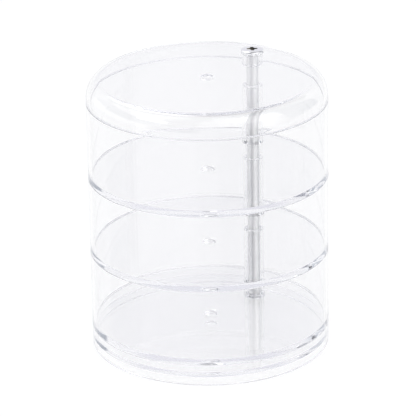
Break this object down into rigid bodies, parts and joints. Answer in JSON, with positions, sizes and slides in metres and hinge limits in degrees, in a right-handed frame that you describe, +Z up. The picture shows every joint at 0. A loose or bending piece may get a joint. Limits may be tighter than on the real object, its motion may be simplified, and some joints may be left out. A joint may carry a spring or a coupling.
{
  "type": "rotating jewelry box",
  "caption": "Round clear plastic box of stacked trays under a rounded lid; each tray and the lid swing sideways about a metal post inside the wall.",
  "frame": {"origin": "middle of the foot ring, on the surface that the box stands on", "axes": "+Z up; the swivel post stands on the +Y side, inside the walls, so +Y is the hinge side and -Y the side that swings out"},
  "size_m": [0.12, 0.12, 0.1416],
  "materials": {
    "clear_plastic": "water-clear moulded plastic, polished",
    "polished_steel": "drawn and polished round tube",
    "chromed_screw": "bright plated"
  },
  "bodies": {
    "base": {"base": "clear_plastic", "pivot_sleeve": "polished_steel", "top_screw": "chromed_screw", "bottom_screw": "chromed_screw"},
    "tray_bottom": {"tray_bottom": "clear_plastic"},
    "tray_middle": {"tray_middle": "clear_plastic"},
    "tray_top": {"tray_top": "clear_plastic"},
    "lid": {"lid": "clear_plastic"}
  },
  "joints": [
    {"name": "tray_bottom_swivel", "type": "hinge", "parent": "base", "child": "tray_bottom", "pos_m": [0, 0.0435, 0.011], "axis": [0, 0, 1], "continuous": true},
    {"name": "tray_middle_swivel", "type": "hinge", "parent": "base", "child": "tray_middle", "pos_m": [0, 0.0435, 0.0503], "axis": [0, 0, 1], "continuous": true},
    {"name": "tray_top_swivel", "type": "hinge", "parent": "base", "child": "tray_top", "pos_m": [0, 0.0435, 0.0896], "axis": [0, 0, 1], "continuous": true},
    {"name": "lid_swivel", "type": "hinge", "parent": "base", "child": "lid", "pos_m": [0, 0.0435, 0.1289], "axis": [0, 0, 1], "continuous": true}
  ]
}
